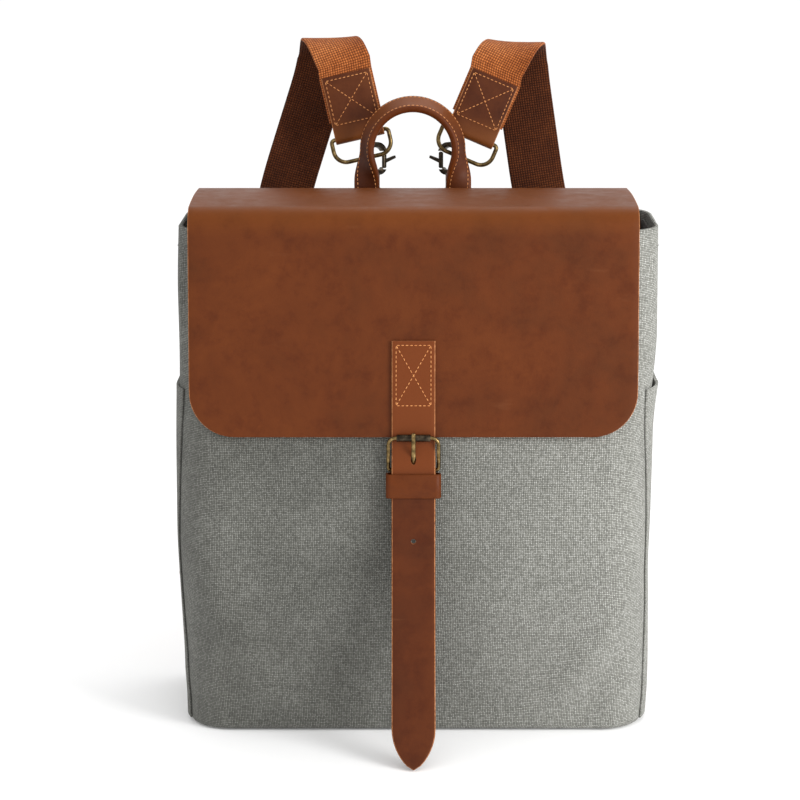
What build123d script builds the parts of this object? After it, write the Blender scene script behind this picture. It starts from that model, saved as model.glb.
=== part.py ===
"""Canvas backpack with a leather flap, one buckled strap, a carry handle and two clip-on shoulder straps.

Frame: +Z up, the front faces -Y, and the origin is the middle of the base, on the surface it stands on.
Left and right are as seen from the front. Everything is in millimetres.
"""

from build123d import *
from math import cos, pi, radians, sin, sqrt
import os

os.makedirs("parts", exist_ok=True)

# ---------------------------------------------------------------- driving dimensions
# bag body: height of each level, its width, the y of its front, and its corner radius
LEVELS = [(0, 308, -58, 30), (130, 318, -66, 34), (342, 312, -40, 26)]
BACK_Y = 62  # flat back
BASE_Z, TOP_Z = LEVELS[0][0], LEVELS[-1][0]
CANVAS = 2.2
LINING = 0.8
SLACK = 0.4  # room between two layers of cloth
BASE_PANEL = 2.5
BASE_ROUND = 1.2
TOUCH = 0.1  # room between two parts that lie on each other
BASE_BOARD = 3.0
HEM_HEIGHT = 20
HEM = 1.2
POCKET_TOP = 235
POCKET_GAP = 5.0
POCKET_FRONT, POCKET_BACK = -36, 38
SLEEVE_Y, SLEEVE, SLEEVE_TOP, SLEEVE_WIDTH = 42.0, 3.0, 268, 284
LINING_DROP = 4  # the lining ends this far below the mouth

LEATHER = 2.2
FLAP_WIDTH = 297
FLAP_CORNER = 30
FLAP_EDGE = 77  # lower edge, up the front from the widest level
FLAP_SEWN_Z = 292  # lower edge of the flap at the back
HINGE_Y, HINGE_Z = 52, 343  # the flap turns over here at the back
ROLL = 12.7  # middle radius of the fixed roll at the back
LAP = 0.3  # the moving flap lies this far over the fixed roll
FRONT_ROLL = 12.9  # middle radius of the roll at the front
BACK_FLAT = 12  # the fixed part runs this far forward over the mouth
FLAP_GAP = 2.0  # between the canvas and the hanging part

STRAP_WIDTH = 29
STRAP = 2.4
STRAP_TOP = 141
STRAP_ON_FLAP = 5.4  # middle of the strap, out from the canvas, on the flap
STRAP_OVER_BAR = 10.3  # the same over the buckle's hinge bar
TAIL_TOP = 34.5
TAIL_TIP_Y, TAIL_TIP_Z = -133, 1.0
TIP_LENGTH = 27
TIP_SHOULDER_X, TIP_SHOULDER_Z = 9.2, 7.5
SPARE_HOLE_Z, SPARE_HOLE = 139, 1.7
SLOT_UP, SLOT_LENGTH, SLOT_WIDTH = 62.8, 11.5, 3.4  # the tongue comes through here

WIRE = 1.3  # radius of the buckle's wire
BAR_UP, BAR_OUT = 55, 5.6  # hinge bar
ROLLER_UP, ROLLER_OUT = 77, 9.3
ROLLER = 2.4
FRAME_HALF = 16.6
ROLLER_HALF = 11.2
FIT = 0.06  # running clearance round a bar
TONGUE = 1.0
TONGUE_RISE = 7.5  # over the height of the frame
TONGUE_HUB, TONGUE_HUB_HALF = 0.9, 1.3  # wall and half width of the coil round the hinge bar
TONGUE_PAST = 4  # beyond the roller
KEEPER_LOW, KEEPER_HIGH = 37.2, 53.2
KEEPER_WIDTH, KEEPER_DEPTH, KEEPER_OUT = 36.6, 13.1, 6.95
KEEPER_WALL, KEEPER_ROUND = 1.7, 3.6
SNAP_UP, SNAP_CAP, SNAP_BASE, SNAP_THICK = 26, 8, 8.5, 1.0
CHAPE_BACK, CHAPE_LOW, CHAPE_HALF = 2.3, 14, 13.2
CHAPE_SLOT_WIDTH, CHAPE_SLOT_LENGTH = 3.8, 14

WEBBING_WIDTH, WEBBING = 38, 2.4
RING_WIRE = 1.5
RING_HALF, RING_DROP = 20.5, 17
RING_TOP_ROUND, RING_LOW_ROUND = 2.4, 9
TAB_WIDTH, TAB_LENGTH, TAB_THICK = 35, 44, 6.4
LEAN_BACK = 6  # degrees, of the front run of a shoulder strap
LOOP_RADIUS = 17
RING_Y, RING_Z = 90, 381
LOWER_X, LOWER_Y, LOWER_Z = 145, 76, 84  # the webbing turns round this bar
LOWER_BAR_Y, LOWER_BAR_Z = 70.2, 70  # the ring's other bar, loose in the fold of its tab
LOWER_FOLD = 4.3
LOWER_RING_HALF, LOWER_RING_ROUND = 22.5, 3.5
LOWER_TAB_HALF, LOWER_TAB = 16, 2.2
LOWER_TAB_Y, LOWER_TAB_Z, LOWER_TAB_BEND = 64.2, 24, 42
SLIDER_Z = 150
SLIDER_WIDTH_HALF, SLIDER_HEIGHT, SLIDER_ROUND = 21, 12.4, 2.5
SLIDER_WIRE, SLIDER_BAR, SLIDER_BAR_HALF = 1.3, 1.0, 20.2
TURN = RING_WIRE + 0.2 + WEBBING / 2
RETURN = 95  # height of the webbing's returned end

HOOK_X = 26.6
EYE_Y, EYE_Z = 81.4, 340
EYE_FOLD = 3.7  # the eye sits loose in the fold of its tab
HOOK_THICK = 3.6
HOOK_TURN = 50  # degrees from square to the bag
HOOK_MIDDLE = 33.5  # the hook's loop, up its axis from the eye
EYE_HALF, EYE_RISE, EYE_WIRE = 10, 11, 1.4
POST, POST_LOW, POST_RISE = 1.6, 12.8, 6
COLLAR, COLLAR_LOW, COLLAR_RISE = 4, 9.2, 3.6
BARREL, BARREL_LOW, BARREL_RISE, BARREL_BORE = 3.4, 13.1, 10, 6.2
GATE_SIDE, GATE_THICK = 8.6, 2.4
ANCHOR_HALF, ANCHOR = 8, 1.8
YOKE_WIDTH, YOKE_HEIGHT, YOKE_MIDDLE_Z, YOKE_ROUND = 140, 70, 297, 8

HANDLE_X, HANDLE_Y = 32, 70.5
HANDLE_WIDTH, HANDLE_THICK = 18, 4.2
HANDLE_FOOT_Z, HANDLE_FOLD_Z, HANDLE_ARCH_Z = 299, 351, 385


def save(solid, name):
    """Writes one finished piece."""
    solid.label = name
    export_step(solid, f"parts/{name}.step")


def wire_loop(plane, half_width, reach, near_corner, far_corner, wire):
    """A closed round-wire frame: one bar on the plane's x axis, the other at reach along its y axis."""
    corners = [(-half_width, 0), (half_width, 0), (half_width, reach), (-half_width, reach)]
    with BuildPart() as loop:
        with BuildLine(plane) as path:
            FilletPolyline(*corners, radius=[near_corner, near_corner, far_corner, far_corner], close=True)
        with BuildSketch(Plane(origin=path.line @ 0, z_dir=path.line % 0)):
            Circle(wire)
        sweep(path=path.line)
    return loop.part


def save_pair(solid, name):
    """Writes a piece made for the right side, and its mirror image for the left."""
    save(solid, f"{name}_right")
    save(mirror(solid, about=Plane.YZ), f"{name}_left")


# ---------------------------------------------------------------- bag body
def bag_section(z, inset):
    """Width, depth, middle y and corner radius of the bag at a height, inset all round."""
    low, high = (LEVELS[0], LEVELS[1]) if z <= LEVELS[1][0] else (LEVELS[1], LEVELS[2])
    share = (z - low[0]) / (high[0] - low[0])
    width, front, radius = [a + (b - a) * share for a, b in zip(low[1:], high[1:])]
    return width - 2 * inset, BACK_Y - front - 2 * inset, (BACK_Y + front) / 2, radius - inset


def bag_solid(inset, low, high):
    """The bag's outer form as a solid, inset all round, between two heights."""
    heights = [low] + [level[0] for level in LEVELS if low < level[0] < high] + [high]
    with BuildPart() as form:
        for z in heights:
            width, depth, middle, radius = bag_section(z, inset)
            with BuildSketch(Plane.XY.offset(z)):
                with Locations((0, middle)):
                    RectangleRounded(width, depth, radius)
        loft(ruled=True)
    return form.part


def skin(outer, inner, low, high):
    """A wall of cloth between two insets."""
    with BuildPart() as wall:
        add(bag_solid(outer, low, high))
        add(bag_solid(inner, low, high), mode=Mode.SUBTRACT)
    return wall.part


def cut_to_plan(solid, corners):
    """The part of a wall that stands over a plan outline."""
    with BuildPart() as piece:
        add(solid)
        with BuildSketch():
            Polygon(*corners, align=None)
        extrude(amount=TOP_Z + 10, mode=Mode.INTERSECT)
    return piece.part


# the panels meet on lines at 45 degrees through the corners of the widest level
REACH, INWARD = 40, 60  # how far the cutting outlines run past the bag, and into it
half, front = LEVELS[1][1] / 2, LEVELS[1][2]
FRONT_OUT = (half + REACH, front - REACH)
FRONT_IN = (half - INWARD, front + INWARD)
BACK_OUT = (half + REACH, BACK_Y + REACH)
BACK_IN = (half - INWARD, BACK_Y - INWARD)


def left_of(point):
    """The mirror image of a plan point."""
    return (-point[0], point[1])


walls = skin(0, CANVAS, BASE_PANEL, TOP_Z)
save(cut_to_plan(walls, [FRONT_OUT, FRONT_IN, left_of(FRONT_IN), left_of(FRONT_OUT)]), "front_panel")
save(cut_to_plan(walls, [BACK_OUT, left_of(BACK_OUT), left_of(BACK_IN), BACK_IN]), "back_panel")
save_pair(cut_to_plan(walls, [FRONT_OUT, BACK_OUT, BACK_IN, FRONT_IN]), "gusset")

with BuildPart() as base_panel:
    add(bag_solid(0, BASE_Z, BASE_PANEL))
    fillet(base_panel.faces().sort_by(Axis.Z)[0].edges(), BASE_ROUND)
save(base_panel.part, "base_panel")

board_low = BASE_PANEL + TOUCH
with BuildPart() as base_board:
    add(bag_solid(CANVAS + 2, board_low, board_low + BASE_BOARD))
save(base_board.part, "base_board")

lining_low = board_low + BASE_BOARD + TOUCH
with BuildPart() as lining:
    add(bag_solid(CANVAS + SLACK, lining_low, TOP_Z - LINING_DROP))
    add(bag_solid(CANVAS + SLACK + LINING, lining_low + LINING, TOP_Z - LINING_DROP), mode=Mode.SUBTRACT)
save(lining.part, "lining")

with BuildPart() as laptop_sleeve:
    with BuildSketch(Plane.XZ.offset(-SLEEVE_Y)):
        with Locations((0, (SLEEVE_TOP + lining_low + 1) / 2)):
            Rectangle(SLEEVE_WIDTH, SLEEVE_TOP - lining_low - 1)
    extrude(amount=-SLEEVE)
save(laptop_sleeve.part, "laptop_sleeve")

save(skin(-HEM - TOUCH, -TOUCH, TOP_Z - HEM_HEIGHT, TOP_Z), "mouth_hem")


def beside_gusset(solid, front_y, back_y):
    """The part of a wall on the right side, between two y."""
    return cut_to_plan(solid, [(100, front_y), (200, front_y), (200, back_y), (100, back_y)])


pocket_low = BASE_PANEL + 1
with BuildPart() as side_pocket:
    block = skin(-POCKET_GAP - CANVAS, -0.1, pocket_low, POCKET_TOP)
    room = skin(-POCKET_GAP, -0.05, pocket_low + CANVAS, POCKET_TOP + 1)
    add(beside_gusset(block, POCKET_FRONT, POCKET_BACK))
    add(beside_gusset(room, POCKET_FRONT + CANVAS, POCKET_BACK - CANVAS), mode=Mode.SUBTRACT)
save_pair(side_pocket.part, "side_pocket")

# ---------------------------------------------------------------- flap
# the front slopes back from the widest level; UP runs up it and OUT points away from it
low_level, high_level = LEVELS[1], LEVELS[2]
RISE, SET_BACK = high_level[0] - low_level[0], high_level[2] - low_level[2]
FRONT = Plane(origin=(0, low_level[2], low_level[0]), x_dir=(1, 0, 0), z_dir=(0, -RISE, SET_BACK))
PROFILE = Plane(origin=FRONT.origin, x_dir=(0, SET_BACK, RISE), z_dir=(1, 0, 0))
slant = sqrt(RISE**2 + SET_BACK**2)
up_y, up_z = SET_BACK / slant, RISE / slant


def beside(up, out):
    """The (y, z) of a point given up the front and out from it."""
    return low_level[2] + up * up_y - out * up_z, low_level[0] + up * up_z + out * up_y


with BuildPart() as flap_back:
    with BuildSketch(Plane.YZ):
        with BuildLine():
            Polyline((HINGE_Y + ROLL, FLAP_SEWN_Z), (HINGE_Y + ROLL, HINGE_Z))
            CenterArc((HINGE_Y, HINGE_Z), ROLL, 0, 90)
            Line((HINGE_Y, HINGE_Z + ROLL), (HINGE_Y - BACK_FLAT, HINGE_Z + ROLL))
        trace(line_width=LEATHER)
    extrude(amount=FLAP_WIDTH / 2, both=True)
save(flap_back.part, "flap_back")

flap_low_z = HINGE_Z + ROLL + LEATHER / 2 + LAP
flap_out = FLAP_GAP + LEATHER / 2  # middle of the hanging part, out from the canvas
roll_z = flap_low_z - LAP - FRONT_ROLL - LEATHER / 2
# the roll's middle stands so that the roll runs straight into the hanging part
roll_up = (roll_z - low_level[0] - (flap_out - FRONT_ROLL) * up_y) / up_z
roll_y = beside(roll_up, flap_out - FRONT_ROLL)[0]

with BuildPart() as flap_top:
    with BuildSketch(Plane.YZ):
        with Locations(((HINGE_Y + roll_y - 6) / 2, flap_low_z + LEATHER / 2)):
            Rectangle(HINGE_Y - roll_y + 6, LEATHER)
    extrude(amount=FLAP_WIDTH / 2, both=True)
save(flap_top.part, "flap_top")

with BuildPart() as flap_front:
    with BuildSketch(Plane.YZ):
        with BuildLine() as hanging:
            down = Line(beside(FLAP_EDGE, flap_out), beside(roll_up, flap_out))
            RadiusArc(down @ 1, (roll_y, roll_z + FRONT_ROLL), FRONT_ROLL)
        trace(line_width=LEATHER)
    extrude(amount=FLAP_WIDTH / 2, both=True)
    with BuildSketch(FRONT):
        with Locations((0, FLAP_EDGE + 150)):
            RectangleRounded(FLAP_WIDTH, 300, FLAP_CORNER)
    extrude(amount=60, both=True, mode=Mode.INTERSECT)
save(flap_front.part, "flap_front")

# ---------------------------------------------------------------- strap, buckle and keeper
with BuildPart() as flap_strap:
    with BuildSketch(PROFILE):
        with BuildLine():
            FilletPolyline(
                (STRAP_TOP, STRAP_ON_FLAP),
                (ROLLER_UP - 6, STRAP_ON_FLAP),
                (BAR_UP + 1.5, STRAP_OVER_BAR),
                (TAIL_TOP + 1.9, STRAP_OVER_BAR),
                radius=3,
            )
        trace(line_width=STRAP)
    extrude(amount=STRAP_WIDTH / 2, both=True)
    with BuildSketch(FRONT.offset(STRAP_ON_FLAP - STRAP)):
        with Locations((0, SLOT_UP)):
            SlotOverall(SLOT_LENGTH, SLOT_WIDTH, rotation=90)
    extrude(amount=14, mode=Mode.SUBTRACT)
save(flap_strap.part, "flap_strap")

tail_y, tail_z = beside(TAIL_TOP, STRAP_OVER_BAR)
with BuildPart() as strap_tail:
    with BuildSketch(Plane.YZ):
        with BuildLine():
            TangentArc((tail_y, tail_z), (TAIL_TIP_Y, TAIL_TIP_Z), tangent=(-up_y, -up_z))
        trace(line_width=STRAP)
        with Locations((tail_y, tail_z)):
            Circle(STRAP / 2)
    extrude(amount=STRAP_WIDTH / 2, both=True)
    with BuildSketch(Plane.XZ):
        with BuildLine():
            side = Line((STRAP_WIDTH / 2, TIP_LENGTH), (STRAP_WIDTH / 2, tail_z + 10))
            over = Line(side @ 1, (-STRAP_WIDTH / 2, tail_z + 10))
            Line(over @ 1, (-STRAP_WIDTH / 2, TIP_LENGTH))
            tip = (0, 0.2)
            ThreePointArc((-STRAP_WIDTH / 2, TIP_LENGTH), (-TIP_SHOULDER_X, TIP_SHOULDER_Z), tip)
            ThreePointArc(tip, (TIP_SHOULDER_X, TIP_SHOULDER_Z), (STRAP_WIDTH / 2, TIP_LENGTH))
        make_face()
    extrude(amount=200, both=True, mode=Mode.INTERSECT)
    with BuildSketch(Plane.XZ.offset(-TAIL_TIP_Y)):
        with Locations((0, SPARE_HOLE_Z)):
            Circle(SPARE_HOLE)
    extrude(amount=-90, mode=Mode.SUBTRACT)
save(strap_tail.part, "strap_tail")

frame_height = sqrt((ROLLER_UP - BAR_UP) ** 2 + (ROLLER_OUT - BAR_OUT) ** 2)
tilt = ((ROLLER_UP - BAR_UP) / frame_height, (ROLLER_OUT - BAR_OUT) / frame_height)
bar_y, bar_z = beside(BAR_UP, BAR_OUT)
roller_y, roller_z = beside(ROLLER_UP, ROLLER_OUT)
BUCKLE = Plane(
    origin=(0, bar_y, bar_z),
    x_dir=(1, 0, 0),
    z_dir=(0, bar_z - roller_z, roller_y - bar_y),
)

save(wire_loop(BUCKLE, FRAME_HALF, frame_height, 2.5, 5, WIRE), "buckle_frame")

with BuildPart() as buckle_roller:
    with BuildSketch(Plane(origin=(0, roller_y, roller_z), x_dir=(0, 1, 0), z_dir=(1, 0, 0))):
        Circle(ROLLER)
        Circle(WIRE + FIT, mode=Mode.SUBTRACT)
    extrude(amount=ROLLER_HALF, both=True)
save(buckle_roller.part, "buckle_roller")

tip_y, tip_z = beside(ROLLER_UP, BAR_OUT + TONGUE_RISE)
tongue_line = Vector(0, tip_y - bar_y, tip_z - bar_z)
with BuildPart() as buckle_tongue:
    with BuildSketch(Plane(origin=(0, bar_y, bar_z), x_dir=tongue_line, z_dir=(1, 0, 0))):
        Circle(WIRE + FIT + TONGUE_HUB)
    extrude(amount=TONGUE_HUB_HALF, both=True)
    with BuildSketch(Plane(origin=(0, bar_y, bar_z), z_dir=tongue_line)):
        Circle(TONGUE)
    extrude(amount=tongue_line.length + TONGUE_PAST)
    fillet(buckle_tongue.faces().sort_by(Axis.Z)[-1].edges(), 0.8)
    with BuildSketch(Plane(origin=(0, bar_y, bar_z), x_dir=(0, 1, 0), z_dir=(1, 0, 0))):
        Circle(WIRE + FIT)
    extrude(amount=3, both=True, mode=Mode.SUBTRACT)
save(buckle_tongue.part, "buckle_tongue")

FOLD = BAR_OUT - CHAPE_BACK
with BuildPart() as chape:
    with BuildSketch(PROFILE):
        Polygon(
            (CHAPE_LOW, CHAPE_BACK),
            (BAR_UP, CHAPE_BACK),
            (BAR_UP, BAR_OUT + FOLD),
            (BAR_UP - 10, CHAPE_BACK + 4.4),
            (CHAPE_LOW, CHAPE_BACK + 3.2),
            align=None,
        )
        with Locations((BAR_UP, BAR_OUT)):
            Circle(FOLD)
            Circle(WIRE + FIT, mode=Mode.SUBTRACT)
    extrude(amount=CHAPE_HALF, both=True)
    with BuildSketch(FRONT):
        with Locations((0, BAR_UP + 3)):
            Rectangle(CHAPE_SLOT_WIDTH, CHAPE_SLOT_LENGTH)
    extrude(amount=12, mode=Mode.SUBTRACT)
save(chape.part, "buckle_chape")

with BuildPart() as keeper:
    with BuildSketch(Plane(origin=FRONT.from_local_coords((0, KEEPER_LOW, 0)),
                           x_dir=(1, 0, 0), z_dir=PROFILE.x_dir)):
        with Locations((0, -KEEPER_OUT)):
            RectangleRounded(KEEPER_WIDTH, KEEPER_DEPTH, KEEPER_ROUND)
            RectangleRounded(KEEPER_WIDTH - 2 * KEEPER_WALL, KEEPER_DEPTH - 2 * KEEPER_WALL,
                             KEEPER_ROUND - KEEPER_WALL, mode=Mode.SUBTRACT)
    extrude(amount=KEEPER_HIGH - KEEPER_LOW)
save(keeper.part, "keeper")

with BuildPart() as snap_cap:
    with BuildSketch(FRONT.offset(CHAPE_BACK - SNAP_THICK)):
        with Locations((0, SNAP_UP)):
            Circle(SNAP_CAP)
    extrude(amount=SNAP_THICK)
save(snap_cap.part, "snap_cap")

with BuildPart() as snap_base:
    with BuildSketch(FRONT):
        with Locations((0, SNAP_UP)):
            Circle(SNAP_BASE)
    extrude(amount=SNAP_THICK)
save(snap_base.part, "snap_base")

# ---------------------------------------------------------------- yoke, handle and strap anchors
YOKE_Y = HINGE_Y + ROLL + LEATHER / 2 + 0.2
with BuildPart() as back_yoke:
    with BuildSketch(Plane.XZ.offset(-YOKE_Y)):
        with Locations((0, YOKE_MIDDLE_Z)):
            RectangleRounded(YOKE_WIDTH, YOKE_HEIGHT, YOKE_ROUND)
    extrude(amount=-LEATHER)
save(back_yoke.part, "back_yoke")


def handle_plane(x, z, angle, twist):
    """The plane of one section of the handle: angle turns it over the arch, twist about its own line."""
    along = Vector(-sin(radians(angle)), 0, cos(radians(angle)))
    across = Vector(cos(radians(angle)), 0, sin(radians(angle)))
    wide = across * cos(radians(twist)) + Vector(0, 1, 0) * sin(radians(twist))
    return Plane(origin=(x, HANDLE_Y, z), x_dir=wide, z_dir=along)


TWIST_STEPS, ARCH_STEPS = 6, 12
handle_planes = []
for step in range(TWIST_STEPS):
    share = step / TWIST_STEPS
    rise = HANDLE_FOLD_Z + (HANDLE_ARCH_Z - HANDLE_FOLD_Z) * share
    handle_planes.append(handle_plane(HANDLE_X, rise, 0, 90 * share))
for step in range(ARCH_STEPS + 1):
    angle = 180 * step / ARCH_STEPS
    x, z = HANDLE_X * cos(radians(angle)), HANDLE_ARCH_Z + HANDLE_X * sin(radians(angle))
    handle_planes.append(handle_plane(x, z, angle, 90))
for step in range(TWIST_STEPS - 1, -1, -1):
    share = step / TWIST_STEPS
    rise = HANDLE_FOLD_Z + (HANDLE_ARCH_Z - HANDLE_FOLD_Z) * share
    handle_planes.append(handle_plane(-HANDLE_X, rise, 180, 180 - 90 * share))

with BuildPart() as handle:
    for plane in handle_planes:
        with BuildSketch(plane):
            Rectangle(HANDLE_WIDTH, HANDLE_THICK)
    loft(ruled=True)
    for x in (-HANDLE_X, HANDLE_X):
        with BuildSketch(Plane.YZ.offset(x)):
            with Locations((HANDLE_Y, HANDLE_FOLD_Z)):
                Circle(HANDLE_THICK / 2)
        extrude(amount=HANDLE_WIDTH / 2, both=True)
save(handle.part, "carry_handle")

foot_top = HANDLE_FOLD_Z - HANDLE_THICK / 2 - 0.4
with BuildPart() as handle_foot:
    with BuildSketch(Plane.XY.offset(HANDLE_FOOT_Z)):
        with Locations((HANDLE_X, HANDLE_Y)):
            Rectangle(HANDLE_WIDTH, HANDLE_THICK)
    extrude(amount=foot_top - HANDLE_FOOT_Z)
save_pair(handle_foot.part, "handle_foot")

with BuildPart() as anchor:
    with BuildSketch(Plane.YZ.offset(HOOK_X)):
        with BuildLine():
            FilletPolyline((69.3, 266), (69.3, 284), (74.3, 294), (EYE_Y - EYE_FOLD, EYE_Z), radius=3)
            CenterArc((EYE_Y, EYE_Z), EYE_FOLD, 0, 180)
            Line((EYE_Y + EYE_FOLD, EYE_Z), (EYE_Y - 1.6, EYE_Z - 18))
        trace(line_width=ANCHOR)
    extrude(amount=ANCHOR_HALF, both=True)
save_pair(anchor.part, "anchor_tab")

# ---------------------------------------------------------------- snap hooks
HOOK_AXIS = Vector(0, RING_Y - 0.5 - EYE_Y, 374.6 - EYE_Z).normalized()
hook_back = Vector(0, HOOK_AXIS.Z, -HOOK_AXIS.Y)
HOOK_SIDE = Vector(-sin(radians(HOOK_TURN)), 0, 0) + hook_back * cos(radians(HOOK_TURN))
HOOK = Plane(origin=(HOOK_X, EYE_Y, EYE_Z), x_dir=HOOK_SIDE, z_dir=HOOK_SIDE.cross(HOOK_AXIS))
EYE = Plane(origin=(HOOK_X, EYE_Y, EYE_Z), x_dir=(1, 0, 0), z_dir=Vector(1, 0, 0).cross(HOOK_AXIS))



def on_hook_axis(up):
    """A plane square to the hook's axis, this far up from the eye."""
    return Plane(origin=EYE.origin + HOOK_AXIS * up, z_dir=HOOK_AXIS)


with BuildPart() as swivel_eye:
    add(wire_loop(EYE, EYE_HALF, EYE_RISE, 2.5, 5, EYE_WIRE))
    with BuildSketch(on_hook_axis(COLLAR_LOW)):
        Circle(COLLAR)
    extrude(amount=COLLAR_RISE)
    with BuildSketch(on_hook_axis(POST_LOW)):
        Circle(POST)
    extrude(amount=POST_RISE)
save_pair(swivel_eye.part, "swivel_eye")

with BuildPart() as snap_hook:
    with BuildSketch(HOOK.offset(-HOOK_THICK / 2)):
        with Locations((0.8, HOOK_MIDDLE)):
            RectangleRounded(18.6, 23, 8)
        with Locations((1, HOOK_MIDDLE)):
            RectangleRounded(12, 16, 5.5, mode=Mode.SUBTRACT)
        with Locations((GATE_SIDE, HOOK_MIDDLE - 0.7)):
            Rectangle(5.2, 13.2, mode=Mode.SUBTRACT)
    extrude(amount=HOOK_THICK)
    with BuildSketch(on_hook_axis(BARREL_LOW)):
        Circle(BARREL)
    extrude(amount=BARREL_RISE)
    with BuildSketch(on_hook_axis(BARREL_LOW)):
        Circle(POST + FIT)
    extrude(amount=BARREL_BORE, mode=Mode.SUBTRACT)
save_pair(snap_hook.part, "snap_hook")

with BuildPart() as snap_gate:
    with BuildSketch(HOOK.offset(-GATE_THICK / 2)):
        with Locations((GATE_SIDE - 0.1, HOOK_MIDDLE - 0.5)):
            RectangleRounded(2.6, 11.6, 1.2)
        with BuildLine():
            Polyline(
                (GATE_SIDE, 30.5), (GATE_SIDE + 10, 35), (GATE_SIDE + 9.4, 36.9),
                (GATE_SIDE, 33.5), (GATE_SIDE, 30.5),
            )
        make_face()
    extrude(amount=GATE_THICK)
save_pair(snap_gate.part, "snap_gate")


# ---------------------------------------------------------------- shoulder straps
def between(value, knots):
    """Straight-line interpolation in a short list of (place, value) pairs."""
    for (a, low), (b, high) in zip(knots, knots[1:]):
        if value <= b:
            return low + (high - low) * (value - a) / (b - a)
    return knots[-1][1]


def shoulder_strap(side, name, lean, ring_x, crest_x, rear_x):
    """One shoulder strap with its rings, tab and slider. Lean tilts its front run outwards, in degrees."""
    back = Vector(0, sin(radians(LEAN_BACK)), cos(radians(LEAN_BACK)))
    outwards = Vector(side, 0, 0)
    up = outwards * sin(radians(lean)) + back * cos(radians(lean))
    across = outwards * cos(radians(lean)) - back * sin(radians(lean))
    bar = Vector(side * ring_x, RING_Y, RING_Z) + up * RING_DROP / 2
    bar_plane = Plane(origin=bar, x_dir=across, z_dir=across.cross(up))
    ring = wire_loop(bar_plane, RING_HALF, -RING_DROP, RING_TOP_ROUND, RING_LOW_ROUND, RING_WIRE)
    save(ring, f"strap_ring_{name}")

    with BuildPart() as end_tab:
        with BuildSketch(Plane(origin=bar, x_dir=up, z_dir=across)):
            with Locations((TAB_LENGTH / 2, 0)):
                Rectangle(TAB_LENGTH, TAB_THICK)
            Circle(TAB_THICK / 2)
            Circle(RING_WIRE + FIT, mode=Mode.SUBTRACT)
        extrude(amount=TAB_WIDTH / 2, both=True)
    save(end_tab.part, f"end_tab_{name}")

    start = bar + up * (TAB_LENGTH + TOUCH)
    with BuildLine() as side_view:  # drawn in y and z, as seen from the side
        front_run = Line((start.Y, start.Z), (start.Y + 0.8, start.Z + 7))
        loop = JernArc(front_run @ 1, front_run % 1, LOOP_RADIUS, -182)
        run = Line(loop @ 1, (LOWER_Y + TURN, LOWER_Z))
        CenterArc((LOWER_Y, LOWER_Z), TURN, 0, -180)
        slope = (run @ 0 - run @ 1).X / (run @ 0 - run @ 1).Y
        Line((LOWER_Y - TURN, LOWER_Z), (LOWER_Y - TURN + RETURN * slope, LOWER_Z + RETURN))
    shape = side_view.wire()
    total = shape.length
    crest_at = front_run.length + loop.length / 2
    loop_end = front_run.length + loop.length
    turn_at = loop_end + run.length
    turn_end = turn_at + TURN * pi
    loop_end_z = (loop @ 1).Y
    rear = [(LOWER_Z, LOWER_X), (LOWER_Z + 30, LOWER_X - 4), (350, rear_x), (loop_end_z, crest_x + 3)]

    def middle(at):
        """The middle of the webbing, this far along it."""
        point = shape.position_at(min(max(at / total, 0), 1))
        if at < loop_end:
            x = between(at, [(0, abs(start.X)), (crest_at, crest_x), (loop_end, crest_x + 3)])
        else:
            x = between(max(point.Y, LOWER_Z), rear)
        return Vector(side * x, point.X, point.Y)

    steps = [crest_at * s / 6 for s in range(7)]
    steps += [crest_at + (loop_end - crest_at) * s / 5 for s in range(1, 6)]
    climb = sqrt(1 + slope**2)  # length of the run for each unit of height
    steps += [turn_at - (z - LOWER_Z) * climb for z in (410, 350, 230, 114, 99)]
    steps += [turn_at + TURN * pi * s / 8 for s in range(9)]
    steps += [turn_end + (z - LOWER_Z) * climb for z in (99, 114, LOWER_Z + RETURN)]
    with BuildPart() as webbing:
        for at in steps:
            along = (middle(at + 1) - middle(at - 1)).normalized()
            if at == 0:
                along = up
            flat = shape.tangent_at(at / total)
            face = Vector(0, -flat.Y, flat.X)
            with BuildSketch(Plane(origin=middle(at), x_dir=along.cross(face), z_dir=along)):
                Rectangle(WEBBING_WIDTH, WEBBING)
        loft(ruled=True)
    save(webbing.part, f"webbing_{name}")

    ring_up = Vector(0, LOWER_Y - LOWER_BAR_Y, LOWER_Z - LOWER_BAR_Z)
    ring_plane = Plane(origin=(side * LOWER_X, LOWER_BAR_Y, LOWER_BAR_Z), x_dir=(1, 0, 0),
                       z_dir=Vector(1, 0, 0).cross(ring_up))
    lower_ring = wire_loop(ring_plane, LOWER_RING_HALF, ring_up.length, LOWER_RING_ROUND, LOWER_RING_ROUND,
                           RING_WIRE)
    save(lower_ring, f"lower_ring_{name}")

    with BuildPart() as lower_tab:
        with BuildSketch(Plane.YZ.offset(side * LOWER_X)):
            with BuildLine():
                Polyline((LOWER_TAB_Y, LOWER_TAB_Z), (LOWER_TAB_Y, LOWER_TAB_BEND),
                         (LOWER_BAR_Y - LOWER_FOLD, LOWER_BAR_Z))
                CenterArc((LOWER_BAR_Y, LOWER_BAR_Z), LOWER_FOLD, 0, 180)
                Line((LOWER_BAR_Y + LOWER_FOLD, LOWER_BAR_Z), (LOWER_TAB_Y + 2.6, LOWER_TAB_BEND + 1))
            trace(line_width=LOWER_TAB)
        extrude(amount=LOWER_TAB_HALF, both=True)
    save(lower_tab.part, f"lower_tab_{name}")

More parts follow.
